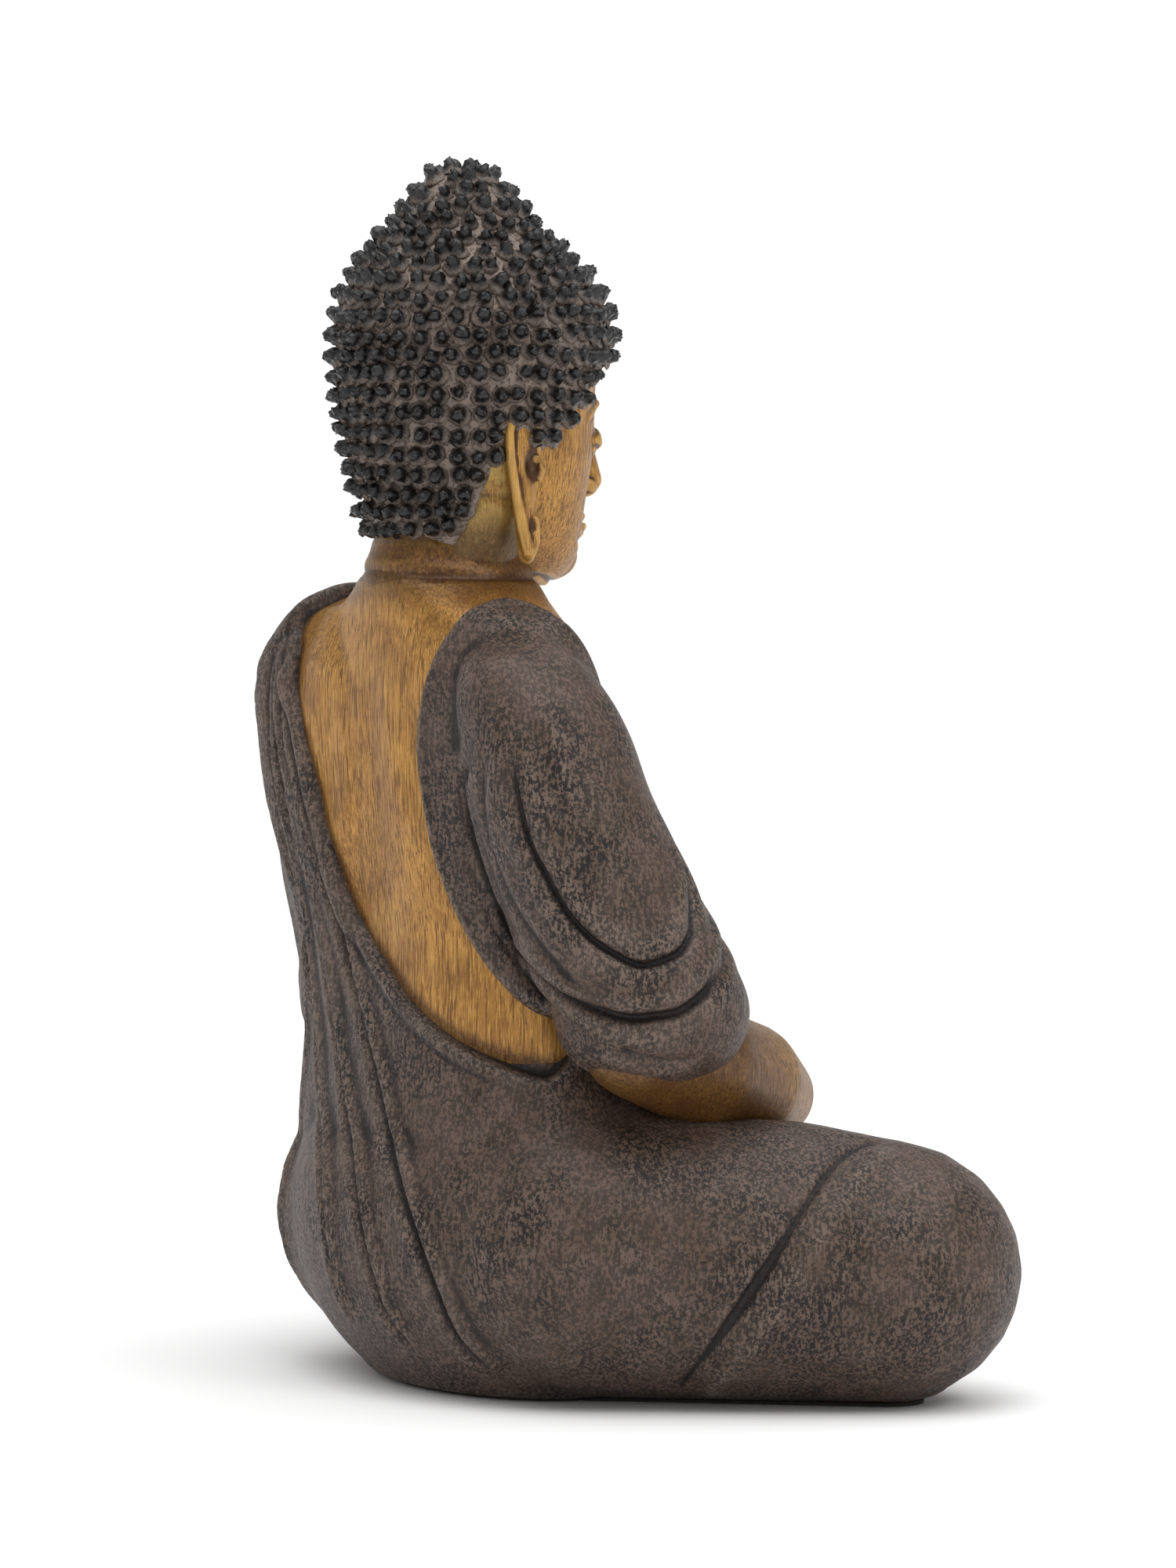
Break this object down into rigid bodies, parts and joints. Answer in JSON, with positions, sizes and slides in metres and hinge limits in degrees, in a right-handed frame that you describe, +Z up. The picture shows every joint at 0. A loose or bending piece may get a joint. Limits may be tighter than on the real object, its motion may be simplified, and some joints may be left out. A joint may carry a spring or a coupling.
{
  "type": "seated meditation statue",
  "caption": "Seated meditating figure in hollow cast resin, gold skin, speckled taupe robe over the left shoulder, black snail curls and a raised crown; closed underneath with a board and felt.",
  "frame": {"origin": "middle of the bounding box's bottom face, which is the floor the statue rests on", "axes": "+Z up; the figure faces -Y; its own right side is at -X"},
  "size_m": [0.271, 0.1671, 0.358],
  "materials": {
    "robe": "satin taupe paint with fine black crackle speckle",
    "skin": "satin antique gold paint brushed over dark brown",
    "hair": "satin taupe paint, dark in the hollows",
    "curls": "gloss black paint on the tips, rubbed taupe lower down",
    "board": "plain fibreboard",
    "felt": "black felt"
  },
  "bodies": {
    "root": {"robe_shell": "robe", "torso_shell": "skin", "right_sleeve": "robe", "left_sleeve": "robe", "right_forearm": "skin", "left_forearm": "skin", "right_hand": "skin", "left_hand": "skin", "right_foot": "skin", "head_shell": "skin", "right_ear": "skin", "left_ear": "skin", "hair_cap": "hair", "hair_curls": "curls", "base_board": "board", "base_felt": "felt"}
  },
  "joints": []
}
